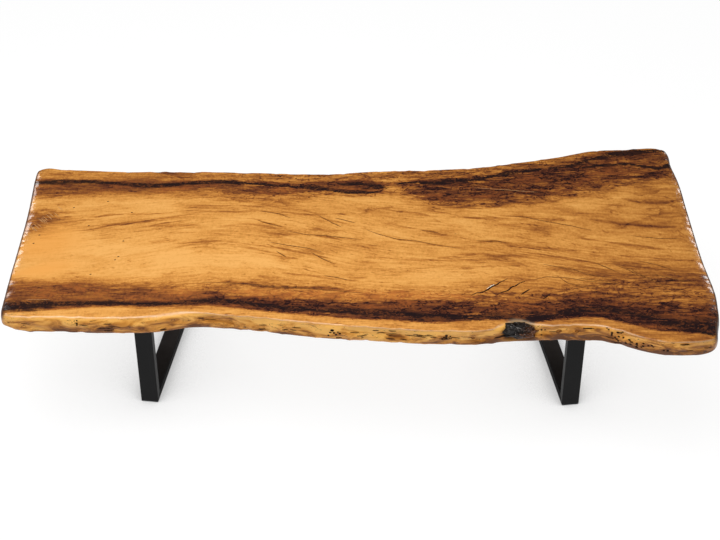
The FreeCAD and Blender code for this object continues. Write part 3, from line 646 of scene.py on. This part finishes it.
pale_rim = x.near(knot_x - 0.015, 0.050) * z.near(plank_base + 0.007, 0.010)
bark_colour = (pale_rim * 0.80).tint(bark_colour, (0.56, 0.250, 0.050, 1))
stain = x.near(knot_x + 0.004, 0.055).rise(0.05, 0.45) * z.rise(knot_z + 0.004, knot_z + 0.012)
bark_colour = (stain * (ragged + 0.20) * 1.2).tint(bark_colour, (0.050, 0.028, 0.016, 1))
bark, arris, end_rim, under = map(shade.attribute, ("bark", "arris", "end_rim", "under"))
colour = bark.tint(colour, bark_colour)
# Painted highlight: a pale tint along the front arris stands in for the lights' glint on the rounded edge.
painted_arris_highlight = arris * (ragged + 0.35).rise(0.65, 0.90)
colour = (painted_arris_highlight * 0.60).tint(colour, (0.93, 0.740, 0.500, 1))
colour = (end_rim * 0.85).tint(colour, (0.085, 0.036, 0.016, 1))
sawn = (streak * 0.5 + figure * 0.3 + fibre * 0.2).rise(0.34, 0.66)
sawn = sawn.tint((0.13, 0.082, 0.047, 1), (0.35, 0.235, 0.142, 1))
colour = under.tint(colour, sawn)
wire(wood_shader, "Base Color", colour)

# Lacquer: glossy on the upper face, dull on bark, end rims and underside, and dimpled on the rolled ends.
dull = bark + end_rim + under + arris * 1.1
wire(wood_shader, "Roughness", streak * 0.12 + 0.12 + dull * 0.30)
wire(wood_shader, "Coat Weight", 0.55 - dull * 0.50)
wire(wood_shader, "Specular IOR Level", 0.30)
wire(wood_shader, "Coat Roughness", 0.06)
orange_peel = shade.noise((x * 150, y * 110, z * 110), 2.0)
relief = fibre * 0.3 + streak + bark * bark_noise * 5.0
relief = relief + shade.attribute("rolled") * orange_peel * 8.0
wire(wood_shader, "Normal", relief.bump(0.12, 0.001))
plank.data.materials.append(wood)

# Knot: the stump of a side branch in the front edge, black with age and pitch and sealed with dark resin.
# It is a lump of burr and hard knot wood that grew into the board, modelled as a ball with bumps.
def close_rows(points):
    """Vertices and faces of a closed shape from rows of points, each once round it: the first and last rows
    are single points, its tips."""
    sections = len(points) - 2
    index = np.arange(sections * points.shape[1]).reshape(sections, -1)
    wrap = np.concatenate([index, index[:, :1]], 1)
    faces = quads(wrap)[:, ::-1].tolist()
    faces += [[index.size, a, b] for a, b in zip(wrap[0, :-1], wrap[0, 1:])]
    faces += [[index.size + 1, b, a] for a, b in zip(wrap[-1, :-1], wrap[-1, 1:])]
    return np.concatenate([points[1:-1].reshape(-1, 3), points[[0, -1], 1]]), faces


around_count, ring_count = 72, 40
turn = np.linspace(0, 2 * np.pi, around_count, endpoint=False)[None]
lift = np.linspace(-np.pi / 2, np.pi / 2, ring_count + 1)[1:-1][:, None]
ball_x, ball_y, ball_z = np.cos(turn) * np.cos(lift), np.sin(turn), np.sin(lift)
bumps = 1 + 0.17 * soft_noise(ball_x * 3 + 9, ball_z * 4 + ball_y * 2 + 5, 21)
bumps = bumps + 0.04 * soft_noise(ball_x * 8 + 9, ball_z * 9 + ball_y * 6 + 5, 22)
girth = np.cos(lift) ** 0.6
knot_half_length, knot_half_depth, knot_half_height, knot_set_back = 0.047, 0.026, 0.019, 0.004
knot_middle = np.array([knot_x, knot_y + knot_set_back, knot_z])
knot_points = knot_middle + np.stack([
    knot_half_length * bumps * girth * np.cos(turn),
    knot_half_depth * bumps * girth * np.sin(turn),
    knot_half_height * bumps * np.sin(lift),
], -1)
knot_poles = knot_middle + np.array([[0, 0, -knot_half_height], [0, 0, knot_half_height]])
pole_rows = np.repeat(knot_poles[:, None], around_count, 1)
knot_rows = np.concatenate([pole_rows[:1], knot_points[:, ::-1], pole_rows[1:]])
knot = make_piece("resin_knot", *close_rows(knot_rows))
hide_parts("knot_fill")
# Its burr is black, with rust brown low down and to the right, and thin pale lines on it are painted glints.
resin, resin_shader, shade, (x, y, z) = new_material("dark_resin")
clot = shade.noise((x * 90, y * 90, z * 130), 6.0, 0.65, 1.2)
rusty = (clot + (x - knot_x) * 3.5 - (z - knot_z) * 5.0).rise(0.44, 0.74)
burr = rusty.tint((0.007, 0.004, 0.003, 1), (0.19, 0.060, 0.018, 1))
# Painted glints: thin pale lines stand in for light caught on the glossy resin.
painted_glints = shade.noise((x * 62, y * 62, z * 95), 2.0, 0.5, 1.5).near(0.5, 0.024)
painted_glints = painted_glints * clot.rise(0.52, 0.60)
wire(resin_shader, "Base Color", painted_glints.tint(burr, (0.50, 0.470, 0.430, 1)))
wire(resin_shader, "Roughness", clot * 0.30 + 0.02)
wire(resin_shader, "Normal", clot.bump(1.0, 0.010))
wire(resin_shader, "Coat Weight", 0.10)
wire(resin_shader, "Specular IOR Level", 0.30)
wire(resin_shader, "Coat Roughness", 0.04)
knot.data.materials.append(resin)

# Marks of age in the upper face: short drying checks that opened along the grain near the front, one with a
# pale lip whose colour is a painted glint, thin dark grain lines, a scatter of pin knots, two pale scratches
# under the lacquer, and near the left end a patch of pale slanting streaks that is a painted reflection.
# Their places are in millimetres.
drying_checks = [
    [(300, -276), (318, -262), (330, -262), (348, -250), (362, -234), (372, -228), (385, -214), (408, -197)],
    [(372, -268), (390, -258), (402, -253), (414, -236), (424, -232), (435, -220), (456, -207)],
    [(436, -272), (448, -258), (462, -246)],
    [(492, -290), (502, -280), (513, -268)],
]
pin_knots = [
    (-816, 144), (-722, 176), (-646, 119), (-902, -34), (-653, -23), (-658, -97), (-665, -112), (-723, -179),
    (-760, 53), (-892, 6), (-229, 306), (-182, 298), (-201, 282), (-141, 197), (-243, 210),
]
scratches = [[(-880, -291), (-812, -292)], [(335, 249), (430, 238), (533, 223)]]
grain_lines = [
    [(-425, -214), (-330, -220), (-235, -234), (-140, -242), (-45, -254), (30, -266)],
    [(-250, -26), (-190, -44), (-140, -56), (-95, -76)],
    [(-225, -70), (-195, -100)],
    [(-130, -74), (-100, -104), (-65, -130)],
    [(20, 36), (60, 10), (110, -14), (170, -24), (225, -44), (290, -60)],
    [(-285, 80), (-250, 62), (-210, 46)],
    [(-205, 28), (-140, 8), (-90, 4), (-40, -6), (10, -16)],
    [(-280, 126), (-225, 112), (-190, 92)],
    [(-120, 112), (-70, 66), (-45, 46)],
    [(-65, 92), (-5, 66)],
    [(-90, -184), (-55, -194), (-25, -204)],
    [(420, 106), (480, 94), (535, 74), (605, 52), (665, 28)],
    [(330, -22), (385, -24), (415, -32)],
    [(470, -206), (510, -190), (570, -196), (620, -210), (710, -224)],
    [(540, -184), (565, -218), (600, -234), (655, -238)],
    [(595, -196), (650, -206), (705, -216)],
    [(575, -148), (625, -180), (680, -196)],
    [(645, -122), (680, -148), (715, -175)],
    [(695, -130), (735, -156), (760, -182), (780, -196)],
    [(735, -146), (775, -188), (810, -220), (830, -238)],
    [(785, -172), (830, -190), (870, -206), (910, -216)],
    [(770, -116), (820, -136), (865, -162)],
    [(765, 4), (840, -10), (905, -12)],
    [(505, -132), (555, -148), (590, -164)],
    [(175, 32), (230, 16)],
]


def sliver(path, half_width, proud, sections=14):
    """Closed needle lying on the board along a path in millimetres: four points round each section, and a
    width that follows a half ellipse from tip to tip."""
    path = np.array(path, float) / 1000
    s = np.linspace(0, 1, sections + 2)
    at = np.linspace(0, 1, len(path))
    middle = np.stack([np.interp(s, at, path[:, 0]), np.interp(s, at, path[:, 1])], 1)
    along = np.gradient(middle, axis=0)
    side = np.stack([-along[:, 1], along[:, 0]], 1) / np.linalg.norm(along, axis=1)[:, None]
    half = (half_width * np.sqrt(4 * s * (1 - s)))[:, None]
    rounds = np.stack([middle - side * half, middle, middle + side * half, middle], 1)
    face = top_height(middle[:, 0], middle[:, 1])[:, None]
    heights = face + proud * np.array([0.2, 1.0, 0.2, -1.0])[None] * (half / half_width)
    points = np.concatenate([rounds, heights[..., None]], -1)
    return close_rows(points)


def join_shapes(shapes):
    """Vertices and faces of several closed shapes as one mesh."""
    start = np.cumsum([0] + [len(points) for points, _ in shapes])
    faces = [[first + corner for corner in face] for first, (_, part) in zip(start, shapes) for face in part]
    return np.concatenate([points for points, _ in shapes]), faces


def mark_piece(name, shapes, dark, light, roughness):
    """Small marks joined into one piece of the board, in a mottled material of their own."""
    piece = make_piece(name, *join_shapes(shapes))
    material, shader, shade, (x, y, z) = new_material(name)
    mottle = shade.noise((x * 150, y * 150, z * 150), 3.0)
    wire(shader, "Base Color", mottle.rise(0.3, 0.7).tint(dark, light))
    wire(shader, "Roughness", mottle * 0.2 + roughness)
    wire(shader, "Specular IOR Level", 0.05)
    piece.data.materials.append(material)


mark_height, lip_height = 0.0003, 0.0005
check_half, lip_half, pin_half = 0.0022, 0.0018, 0.0019
scratch_half, line_half, reflection_streak_half = 0.0009, 0.0018, 0.0008
lip_shift, pin_along, pin_across = 3, 3, 1
checks = [sliver(path, check_half, mark_height, 24) for path in drying_checks]
lip_path = [(x - lip_shift, y + lip_shift) for x, y in drying_checks[0][3:6]]
lips = [sliver(lip_path, lip_half, lip_height)]
pins = []
for x, y in pin_knots:
    path = [(x - pin_along, y - pin_across), (x + pin_along, y + pin_across)]
    pins.append(sliver(path, pin_half, mark_height, 5))
hairs = [sliver(path, scratch_half, mark_height) for path in scratches]
lines = [sliver(path, line_half, mark_height, 6 * len(path)) for path in grain_lines]
# Painted reflection: pale slanting streaks over the dark patch near the left end.
reflection_streak_count = 24
reflection_start, reflection_run, reflection_slip, reflection_slant = np.array([(-932, 5), (85, 115), (0, 35), (-11, 13)])
for share, slip, size in np.random.default_rng(17).uniform(0, 1, (reflection_streak_count, 3)):
    middle = reflection_start + reflection_run * share + reflection_slip * slip
    reach = reflection_slant * (0.6 + 0.8 * size)
    hairs.append(sliver([middle + reach, middle - reach], reflection_streak_half, mark_height, 6))
mark_piece("grain_lines", lines, (0.14, 0.048, 0.012, 1), (0.38, 0.145, 0.032, 1), 0.4)
mark_piece("drying_checks", checks, (0.012, 0.006, 0.005, 1), (0.05, 0.020, 0.010, 1), 0.3)
# Painted glint: the pale colour of the lip stands in for light caught along the first check.
mark_piece("check_lip_painted_glints", lips, (0.80, 0.620, 0.420, 1), (0.95, 0.850, 0.700, 1), 0.1)
mark_piece("pin_knots", pins, (0.02, 0.010, 0.007, 1), (0.06, 0.024, 0.012, 1), 0.6)
mark_piece("pale_scratches_and_reflection", hairs, (0.52, 0.250, 0.090, 1), (0.70, 0.400, 0.180, 1), 0.3)

# Marks in the front edge: beetles bored it before the board was cut, and their holes show as dark dots in
# loose clusters, among short cracks and small healed knots. The holes and cracks are dark domes and needles
# on the face, and their dark colour is painted shade. Each has its place along the board in millimetres, then
# its share of the thickness, except for cracks, and a count or a radius.
worm_clusters = [
    (655, 0.68, 7), (690, 0.55, 12), (722, 0.40, 7), (778, 0.45, 5), (-65, 0.55, 7), (-748, 0.60, 3),
    (215, 0.50, 6),
]
edge_cracks = [
    (-905, 5), (-640, 6), (-420, 3), (-200, 5), (10, 7), (130, 8), (250, 8), (520, 2), (690, 2), (840, 3),
]
healed_knots = [(525, 0.55, 0.0085), (570, 0.62, 0.0060), (300, 0.50, 0.0060)]
knot_dots = [(482, 0.66, 0.0034), (478, 0.42, 0.0030), (489, 0.63, 0.0024)]
dot_sides, dot_flatness, dot_rim, dot_crown, dot_root = 10, 0.8, 0.0004, 0.0012, 0.004
crack_sections, crack_crown, crack_root = 8, 0.0009, 0.002


def edge_dot(x, share, radius):
    """Low closed dome on the front edge face at a distance along the board and a share of its thickness."""
    column = int(np.argmin(np.abs(outline_xy[:columns, 0] - x / 1000)))
    row = int(np.argmin(np.abs(level - share)))
    centre, facing = rings[row, column], np.append(outward[column], 0)
    beside = np.cross([0, 0, 1], facing)
    turn = np.linspace(0, 2 * np.pi, dot_sides, endpoint=False)[:, None]
    oval = np.cos(turn) * beside + np.sin(turn) * np.array([0, 0, dot_flatness])
    ring = centre + radius * oval + dot_rim * facing
    poles = np.stack([centre + dot_crown * facing, centre - dot_root * facing])
    sides = [(a, (a + 1) % dot_sides) for a in range(dot_sides)]
    faces = [[dot_sides, a, b] for a, b in sides] + [[dot_sides + 1, b, a] for a, b in sides]
    return np.concatenate([ring, poles]), faces


def edge_needle(x, share, length, half_height):
    """Closed needle lying along the front edge face, thickest in the middle, four points round a section."""
    s = np.linspace(0, 1, crack_sections + 2)
    column = np.searchsorted(outline_xy[:columns, 0], (x + length * (s - 0.5)) / 1000).clip(1, columns - 1)
    row = int(np.argmin(np.abs(level - share)))
    middle, facing = rings[row, column], np.append(outward[column], np.zeros((len(s), 1)), 1)
    half = (half_height * np.sqrt(4 * s * (1 - s)))[:, None]
    lift = np.array([0, 0, 1]) * half
    crown, root = middle + facing * crack_crown, middle - facing * crack_root
    return close_rows(np.stack([middle - lift, crown, middle + lift, root], 1))


scatter = np.random.default_rng(31)
crack_spread, crack_rise = 45, 0.18
crack_length, crack_length_more = 16, 10
crack_half, crack_half_more = 0.0012, 0.0006
cracks = []
for middle, count in edge_cracks:
    for along_board, up, size in scatter.normal(size=(count, 3)):
        share = np.clip(0.5 + crack_rise * up, 0.15, 0.85)
        length = crack_length + crack_length_more * abs(size)
        half_height = crack_half + crack_half_more * abs(up)
        cracks.append(edge_needle(middle + crack_spread * along_board, share, length, half_height))
knot_tail = edge_needle(371, share=0.40, length=36, half_height=0.0034)
cracks.append(knot_tail)
# Painted shade: the dark needles stand in for the shade inside the cracks.
mark_piece("edge_cracks", cracks, (0.018, 0.009, 0.005, 1), (0.08, 0.032, 0.012, 1), 0.6)
worm_spread, worm_rise = 16, 0.14
worm_radius, worm_radius_more = 0.0026, 0.0009
worms = []
for middle, share, count in worm_clusters:
    for along_board, up, size in scatter.normal(size=(count, 3)):
        radius = worm_radius + worm_radius_more * abs(size)
        worms.append(edge_dot(middle + worm_spread * along_board, share + worm_rise * up, radius))
worms += [edge_dot(*dot) for dot in knot_dots]
# Painted shade: the dark domes stand in for the shade inside the holes.
mark_piece("wormholes", worms, (0.012, 0.007, 0.005, 1), (0.05, 0.022, 0.010, 1), 0.6)
healed = [edge_dot(*knot) for knot in healed_knots]
mark_piece("healed_knots", healed, (0.16, 0.055, 0.014, 1), (0.36, 0.140, 0.030, 1), 0.3)

# Leg frames: rectangular steel tube, mitred and welded into an open U with a flat plate across its top, then
# powder coated satin black. The floor rails are scuffed dull by feet. Their upper faces carry a pale bluish
# band that is dust and painted light, fading towards the front uprights as painted shade, and a thin pale
# line at the foot of the uprights is a painted highlight with a trace of dust. The plates bolt up into the
# underside of the board.
rail_low, rail_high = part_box("left_floor_rail")
upper_parts = ("top_plate", "front_upright", "rear_upright", "plate_welds")
frame_coats = [
    ("black_powder_coat", upper_parts, 0.15, rail_low.z + 0.003),
    ("scuffed_powder_coat", ("floor_rail",), 0.02, rail_high.z),
]


def coat_nodes(parts, material):
    """Give the named parts of both leg frames one material."""
    for side in ("left", "right"):
        for part in parts:
            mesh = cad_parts[side + "_" + part].data
            mesh.materials.clear()
            mesh.materials.append(material)


for name, parts, gloss, dust_and_light_line in frame_coats:
    coat, coat_shader, shade, (x, y, z) = new_material(name)
    peel = shade.noise((x * 900, y * 900, z * 900), 2.0)
    cloud = shade.noise((x * 14, y * 14, z * 14), 3.0)
    black = cloud.rise(0.3, 0.7).tint((0.006, 0.006, 0.0064, 1), (0.009, 0.009, 0.0094, 1))
    # Dust and painted light: faded forward as painted shade, and a painted highlight at the uprights' foot.
    dust_and_painted_light = z.near(dust_and_light_line, 0.0012) * (cloud * 0.6 + 0.5) * (y.rise(-0.20, 0.18) * 0.8 + 0.2)
    wire(coat_shader, "Base Color", dust_and_painted_light.tint(black, (0.19, 0.22, 0.28, 1)))
    wire(coat_shader, "Roughness", cloud * 0.16 + 0.42)
    wire(coat_shader, "Specular IOR Level", gloss)
    wire(coat_shader, "Normal", peel.bump(0.12, 0.0004))
    coat_nodes(parts, coat)

# Fixings: black oxide socket bolts with zinc washers go up through the plates into brass threaded inserts in
# the board, and thin rubber glides sit under the floor rails. Each has its darkest and lightest colour, how
# metallic it is and its middle roughness.
fixings = [
    ("black_oxide", "plate_bolts", (0.035, 0.035, 0.040, 1), (0.085, 0.085, 0.092, 1), 0.9, 0.34),
    ("zinc_plate", "plate_washers", (0.42, 0.42, 0.43, 1), (0.62, 0.62, 0.64, 1), 1.0, 0.30),
    ("turned_brass", "threaded_inserts", (0.58, 0.40, 0.16, 1), (0.78, 0.58, 0.26, 1), 1.0, 0.28),
    ("black_rubber", "floor_glides", (0.016, 0.016, 0.016, 1), (0.034, 0.034, 0.033, 1), 0.0, 0.72),
]
for name, part, darkest, lightest, metallic, roughness in fixings:
    finish, finish_shader, shade, (x, y, z) = new_material(name)
    wear = shade.noise((x * 260, y * 260, z * 420), 3.0, 0.6)
    wire(finish_shader, "Base Color", wear.rise(0.3, 0.7).tint(darkest, lightest))
    wire(finish_shader, "Roughness", wear * 0.2 + (roughness - 0.1))
    wire(finish_shader, "Normal", wear.bump(0.2, 0.0003))
    wire(finish_shader, "Metallic", metallic)
    coat_nodes((part,), finish)

# Studio: a white sweep that glows, with a painted shadow close to the legs, in a dim room that only the
# camera sees as white. A large soft box hangs overhead, and two small cards behind the ends shine along the
# rolled lacquer.
floor_half = 9.0
floor_corners = floor_half * np.array([(-1, -1, 0), (1, -1, 0), (1, 1, 0), (-1, 1, 0)])
floor = make_object("floor", floor_corners, [[0, 1, 2, 3]])
sweep, sweep_shader, shade, (x, y, z) = new_material("white_sweep")
paper = shade.noise((x * 2, y * 2, z), 2.0)
wire(sweep_shader, "Base Color", paper.tint((0.135, 0.135, 0.135, 1), (0.145, 0.145, 0.145, 1)))
wire(sweep_shader, "Roughness", 0.9)
wire(sweep_shader, "Specular IOR Level", 0.1)
# Painted shadow: an occlusion test dims the sweep's glow near the legs, leaning away from the front.
painted_shadow_lean = shade.place(0.0, -0.55, 0.83)
painted_shadow_openness = shade.node("AmbientOcclusion", {"samples": 4}, {"Distance": 0.34, "Normal": painted_shadow_lean}, 1)
painted_shadow_openness = painted_shadow_openness.rise(0.50, 1.0)
wire(sweep_shader, "Emission Color", painted_shadow_openness.tint((0.40, 0.40, 0.40, 1), (1, 1, 1, 1)))
wire(sweep_shader, "Emission Strength", 0.92)
floor.data.materials.append(sweep)

world = bpy.data.worlds.new("studio")
bpy.context.scene.world = world
world.use_nodes = True
sky = Shade(world.node_tree)
direction = sky.node("TexCoord")
overhead = sky.node("SeparateXYZ", None, {0: direction}, 2).rise(0.60, 0.95)
behind_camera = sky.node("SeparateXYZ", None, {0: direction}, 1).rise(0.20, -0.50)
lit = overhead * 0.030 + behind_camera * 0.025 + 0.006
seen = sky.node("LightPath")
background = world.node_tree.nodes["Background"]
wire(background, "Color", (1, 1, 1, 1))
wire(background, "Strength", lit + seen * (1.0 - lit))


def soft_box(name, place, aim, size, watts):
    """Square area light at a place, turned to face its aim."""
    light = bpy.data.lights.new(name, "AREA")
    light.size = size
    light.energy = watts
    lamp = bpy.data.objects.new(name, light)
    bpy.context.scene.collection.objects.link(lamp)
    lamp.location = place
    towards = Vector(aim) - Vector(place)
    lamp.rotation_euler = towards.to_track_quat("-Z", "Y").to_euler()


soft_box("overhead", place=(-0.5, -0.8, 3.6), aim=(0, 0, 0.4), size=3.0, watts=155)
soft_box("card_left", place=(-2.66, 3.1, 1.84), aim=(-0.95, 0, 0.43), size=0.55, watts=4.8)
soft_box("card_right", place=(2.66, 3.0, 1.80), aim=(0.95, 0, 0.43), size=0.45, watts=4.6)

# Camera: above and in front of the table, level across, looking down along its short way. The vanishing
# points give its tilt in degrees and its focal length as a share of the picture's width.
camera_place = (0.00721, -3.5435, 2.9182)
camera_tilt = 36.3
focal_share = 1544 / 720
camera = bpy.data.objects.new("camera", bpy.data.cameras.new("camera"))
bpy.context.scene.collection.objects.link(camera)
camera.location = camera_place
camera.rotation_euler = (np.radians(90 - camera_tilt), 0, 0)
camera.data.sensor_width = 36
camera.data.lens = camera.data.sensor_width * focal_share
camera.data.clip_end = 60
bpy.context.scene.camera = camera
bpy.context.scene.view_settings.view_transform = "Standard"
